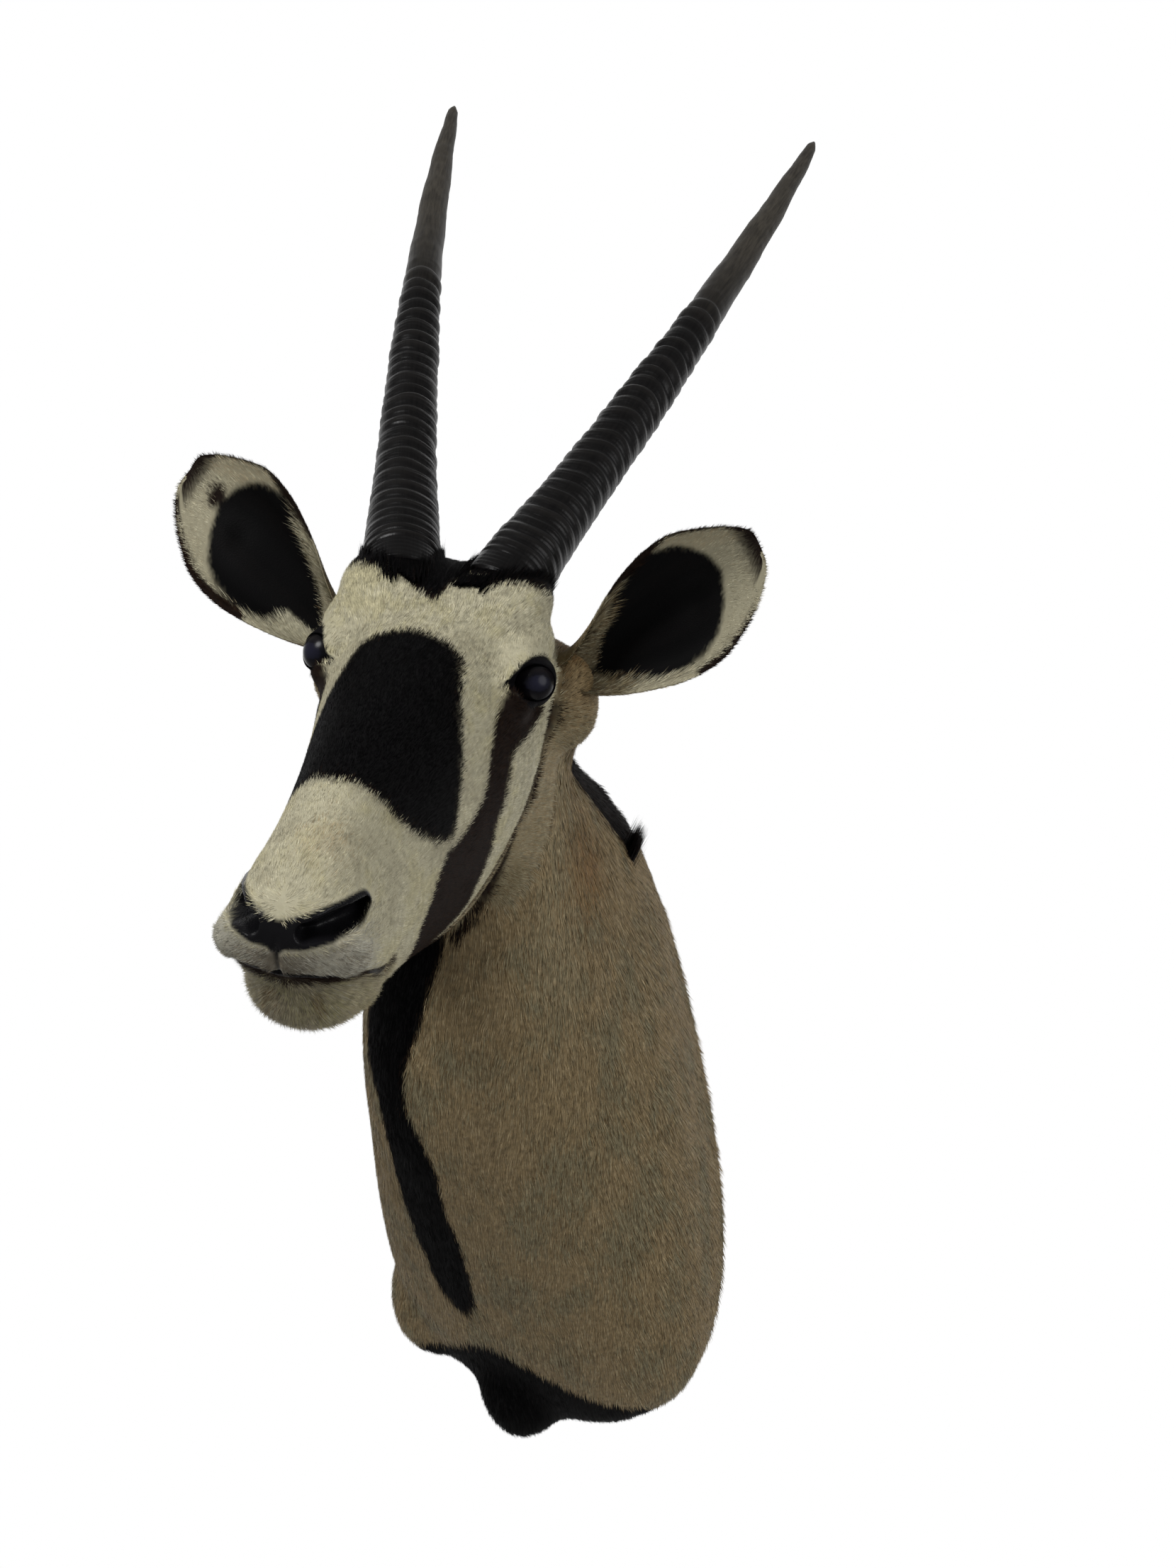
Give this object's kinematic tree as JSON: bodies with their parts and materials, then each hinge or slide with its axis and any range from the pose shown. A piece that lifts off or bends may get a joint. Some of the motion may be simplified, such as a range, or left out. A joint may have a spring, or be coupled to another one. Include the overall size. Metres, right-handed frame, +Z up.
{
  "type": "gemsbok shoulder mount",
  "caption": "Head, neck and shoulders of a gemsbok as a wall mount, with long ringed horns, glass eyes, a dark mane, and a back board with a keyhole plate.",
  "frame": {"origin": "on the wall plane, at the middle of the back board's back face", "axes": "+Z up, +Y into the wall, so the mount stands out towards -Y; +X is the animal's left"},
  "size_m": [0.5437, 0.6849, 1.3656],
  "materials": {
    "tan_hair": "short hair on tanned hide, black, cream and tan",
    "horn": "black horn with glossy rings and smooth grey-brown ends",
    "eye_glass": "dark polished glass, opaque from painting on its back",
    "plywood": "sawn, unpainted",
    "zinc_steel": "zinc plated"
  },
  "bodies": {
    "root": {"cape": "tan_hair", "horn_left": "horn", "horn_right": "horn", "eye_left": "eye_glass", "eye_right": "eye_glass", "backboard": "plywood", "hanger_plate": "zinc_steel", "hanger_screw_left": "zinc_steel", "hanger_screw_right": "zinc_steel"}
  },
  "joints": []
}
